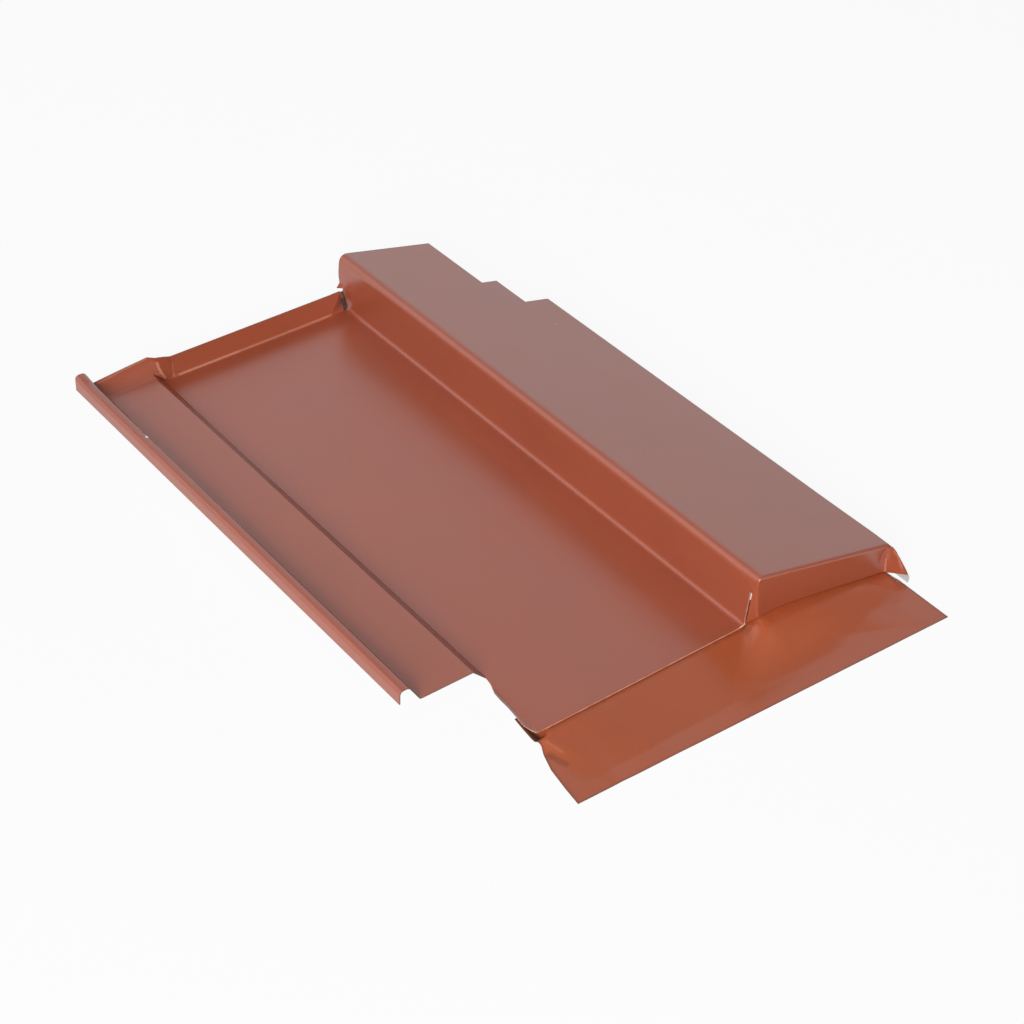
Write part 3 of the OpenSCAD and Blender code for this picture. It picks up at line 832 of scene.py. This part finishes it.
# A coat with its grain; the painted highlights and the painted shade are read from the mesh
def newCoat(name, colour, highlightPaint, roughness, grainScale, bump, metallic=0.0):
    material = bpy.data.materials.new(name)
    material.use_nodes = True
    tree = material.node_tree
    shader = tree.nodes["Principled BSDF"]
    shader.inputs["Base Color"].default_value = (*colour, 1)
    shader.inputs["Roughness"].default_value = roughness
    shader.inputs["Metallic"].default_value = metallic
    paintedHighlight = addNode(tree, "Attribute", {"attribute_name": "paintedHighlight"}, {}).outputs["Fac"]
    paintedShade = addNode(tree, "Attribute", {"attribute_name": "paintedShade"}, {}).outputs["Fac"]
    coat = addNode(tree, "Group", {"node_tree": coatGrain}, {
        "Colour": (*colour, 1), "Highlight Colour": (*highlightPaint, 1), "Painted Shade Colour": (*finishes["paintedShade"], 1),
        "Painted Highlight": paintedHighlight, "Painted Shade": paintedShade, "Roughness": roughness, "Grain Scale": grainScale})
    rise = addNode(tree, "Bump", {}, {"Strength": bump, "Distance": finishes["bumpDistance"],
                                      "Height": coat.outputs["Height"]})
    tree.links.new(coat.outputs["Colour"], shader.inputs["Base Color"])
    tree.links.new(coat.outputs["Roughness"], shader.inputs["Roughness"])
    tree.links.new(rise.outputs[0], shader.inputs["Normal"])
    return material


# The strongest of several marks
def strongestMark(tree, lines):
    strongest = None
    for start, end, width, amount in lines:
        mask = addNode(tree, "Group", {"node_tree": markMask}, {
            "From": Vector(start) * mm + panCorner, "To": Vector(end) * mm + panCorner,
            "Half Width": width * mm, "Amount": amount}).outputs["Mask"]
        strongest = mask if strongest is None else calc(tree, "MAXIMUM", strongest, mask)
    return strongest


# Lays the marks over the coat, each kind in its own colour; chipped spots are metal
def markCoat(material, marks):
    tree = material.node_tree
    shader = tree.nodes["Principled BSDF"]
    colour = shader.inputs["Base Color"].links[0].from_socket
    for kind, lines in marks.items():
        mask = strongestMark(tree, lines)
        colour = colourMix(tree, mask, colour, (*finishes[kind], 1))
        if kind == "bareMetal":
            tree.links.new(mask, shader.inputs["Metallic"])
    tree.links.new(colour, shader.inputs["Base Color"])


# The painted highlights and the painted shade are kept on the mesh, from 0 to 1 at each face's
# corners;
# amount(corner, centre of the face, its material's number) gives the value
def paintMask(piece, name, amount):
    layer = piece.data.attributes.new(name, "FLOAT", "CORNER")
    spots = [(v.co - panCorner) / mm for v in piece.data.vertices]
    for face in piece.data.polygons:
        centre = (face.center - panCorner) / mm
        for i in face.loop_indices:
            corner = spots[piece.data.loops[i].vertex_index]
            layer.data[i].value = amount(corner, centre, face.material_index)


# The loose flap at the foot of the wall's ridge end
def onWallFlap(x, y, z):
    return x > 144 and y > 420.2 and z < sheetSizes["wallSlot"][0] + slack


# Painted highlights: on the hem's front and on the nose's ridge; on a strip beside the slit and on
# the cut edges of the slit and of the turned-down edge, where the bare edge is painted lit
def roofPaintedHighlight(corner, centre, slot):
    x, y, z = centre
    pastSlit = y + z * sheetSizes["slit"][2] / sheetSizes["slit"][1]
    besideSlit = 144 < x < 148.5
    if slot == 2:
        onSlit = besideSlit and -0.3 < pastSlit < 0.3 and z < 31
        onDrip = x < -0.5 and y < sheetSizes["lockSetback"] and z < 0
        return 1.0 * onSlit + 0.9 * onDrip
    if slot == 1:
        return 0
    onHem = 0.85 * (x < 146 and -0.9 < y < slack and -1.1 < z < -0.1)
    onRidge = 0.35 * (abs(x - sheetSizes["pinch"][-1][0]) < 0.5 and y < -12.3 and z < 14)
    onSlit = 0.8 * (besideSlit and 0 < pastSlit < 0.7 and y < 0.05 and z < 30)
    return max(onHem, onRidge, onSlit)


# Painted shade: the turned-down edge beside the eave corner and the loose flap behind the upstand
# are painted dark
def roofPaintedShade(corner, centre, slot):
    x, y, z = corner
    onDrip = 0.62 * (x < -1.0 and y < 48 and z < -0.3) * ease(49, 42, y)
    return max(onDrip if slot < 2 else 0, 1.0 * onWallFlap(x, y, z))


# Painted shade on the apron: a painted shadow under the turned-down edge, dark lines along its cut
# edges, and a dark line under the hem's front
def apronPaintedShade(corner, centre, slot):
    x, y, z = corner
    left, right = apronSizes["left"], apronSizes["right"]
    dripX = blendTo(-4.2, -2.6, min(1, max(0, y / 20)))
    gap = ease(dripX - 1.5, dripX - 0.3, x) * ease(0.5, -2.0, x) * ease(-2.4, -0.8, y)
    leftX = along([(rowY, rowX) for share, rowX, rowY in left], y)[0]
    frontY = blendTo(left[0][2], right[0][2], (x - left[0][1]) / (right[0][1] - left[0][1]))
    rim = 0.5 * (y < frontY + 0.3 or x > 253.1 or x < leftX + 0.3)
    underHem = 0.5 * ease(1.2, -1.2, y + 1) * (abs(x - 72) < 76) * ease(-3.5, -0.5, y)
    return max(gap, rim, underHem)


coatGrain, markMask = makeCoatGrain(), makeMark()
paint, softPaint, backCoat = [
    newCoat(name, finishes[colour], finishes["highlightPaint"], finishes[side + "Rough"],
            finishes[side + "Grain"], finishes["bump"])
    for name, colour, side in (("coated steel", "paint", "paint"),
                               ("painted aluminium", "apronPaint", "apron"),
                               ("back coat", "backCoat", "back"))]
cutEdge, apronEdge = [
    newCoat(name, finishes["cutEdge"], finishes["cutEdgeBareAndLit"], finishes["cutRough"],
            finishes["paintGrain"], finishes["cutBump"], finishes["cutMetallic"])
    for name in ("cut edge", "apron cut edge")]
for material, ior, marks in ((paint, finishes["paintIor"], sheetMarks),
                             (softPaint, finishes["apronIor"], apronMarks)):
    shader = material.node_tree.nodes["Principled BSDF"]
    shader.inputs["IOR"].default_value = ior
    shader.inputs["Specular Tint"].default_value = (*finishes["glossTint"], 1)
    markCoat(material, marks)
for face in roof.data.polygons:    # the flap is painted dark on both sides with the cut edge's colour, as painted shade
    if onWallFlap(*((face.center - panCorner) / mm)):
        face.material_index = 2
paintMask(roof, "paintedHighlight", roofPaintedHighlight)
paintMask(roof, "paintedShade", roofPaintedShade)
paintMask(apron, "paintedHighlight", lambda corner, centre, slot: 0)
paintMask(apron, "paintedShade", apronPaintedShade)
for piece, materials in ((roof, (paint, backCoat, cutEdge)),
                         (apron, (softPaint, softPaint, apronEdge))):
    for i, material in enumerate(materials):
        piece.data.materials[i] = material
print("materials made")

for piece, node, finish in ((roof, "roof_sheet", "painted_sheet"),
                            (apron, "apron", "painted_apron")):
    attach(piece, "root")
    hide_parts(node)


# Floor, light and camera

studio = {
    "floorSize": 30, "floorColour": (0.85, 0.85, 0.85), "floorWhite": 0.92,
    "worldInGloss": 0.38,           # how bright the white world is in glossy reflections
    "lampDistance": 2.5,
    # bearing from the back towards the right and height, in degrees; width and height; watts
    "key": (225, 25, (1.3, 1.3), 64), "side": (315, 30, (2.4, 2.4), 15),
    "top": (0, 90, (1.8, 1.8), 13), "back wall": (48, 24.5, (4.6, 2.4), 26),
    "lens": 79.66, "sensor": 36,
    "cameraPlace": (-0.6560, -0.90725, 0.8740), "cameraTurn": (51.90, 0, -36.54),
}


# 1 for rays from the camera and through glass, gloss for reflected ones and 0 for the rest
def backgroundRays(tree, gloss):
    rays = addNode(tree, "LightPath", {}, {}).outputs
    reflected = calc(tree, "MULTIPLY", rays["Is Glossy Ray"], gloss)
    seen = calc(tree, "MAXIMUM", rays["Is Camera Ray"], reflected)
    return calc(tree, "MAXIMUM", seen, rays["Is Transmission Ray"])


# Matt and pale, and close to white where it is seen, so that the shadow stays faint
def newFloor(s):
    clearSelection()
    bpy.ops.mesh.primitive_plane_add(size=s["floorSize"], location=(0, 0, 0))
    floor = bpy.context.object
    floor.name = "floor"
    material = bpy.data.materials.new("floor")
    material.use_nodes = True
    tree = material.node_tree
    tree.nodes.clear()
    matt = addNode(tree, "BsdfDiffuse", {}, {"Color": (*s["floorColour"], 1)})
    glow = addNode(tree, "Emission", {}, {"Color": (1, 1, 1, 1)})
    share = calc(tree, "MULTIPLY", backgroundRays(tree, 1.0), s["floorWhite"])
    mix = addNode(tree, "MixShader", {}, {0: share, 1: matt.outputs[0], 2: glow.outputs[0]})
    addNode(tree, "OutputMaterial", {}, {"Surface": mix.outputs[0]})
    floor.data.materials.append(material)


def newWorld(s):
    world = bpy.data.worlds.new("studio")
    bpy.context.scene.world = world
    world.use_nodes = True
    back = world.node_tree.nodes["Background"]
    back.inputs["Color"].default_value = (1, 1, 1, 1)
    world.node_tree.links.new(backgroundRays(world.node_tree, s["worldInGloss"]),
                              back.inputs["Strength"])


# A lamp that points at the part's origin
def newLamp(name, s):
    bearing, height, size, power = s[name]
    bearing, height = math.radians(bearing), math.radians(height)
    flat = s["lampDistance"] * math.cos(height)
    place = Vector((flat * math.sin(bearing), flat * math.cos(bearing),
                    s["lampDistance"] * math.sin(height)))
    data = bpy.data.lights.new(name, "AREA")
    data.shape = "RECTANGLE"
    data.size, data.size_y = size
    data.energy = power
    lamp = bpy.data.objects.new(name, data)
    bpy.context.collection.objects.link(lamp)
    lamp.location = place
    lamp.rotation_euler = (Vector() - place).to_track_quat("-Z", "Y").to_euler()
    return lamp


def newCamera(s):
    lens = bpy.data.cameras.new("camera")
    lens.lens, lens.sensor_width = s["lens"], s["sensor"]
    camera = bpy.data.objects.new("camera", lens)
    bpy.context.collection.objects.link(camera)
    camera.location = s["cameraPlace"]
    camera.rotation_euler = [math.radians(angle) for angle in s["cameraTurn"]]
    bpy.context.scene.camera = camera


bpy.context.scene.view_settings.view_transform = "Standard"
newFloor(studio)
newWorld(studio)
newLamp("key", studio)
newLamp("side", studio)
newLamp("top", studio).visible_glossy = False
newLamp("back wall", studio).visible_diffuse = False    # it only shows as a veil on the gloss
newCamera(studio)
print("floor, light and camera set")
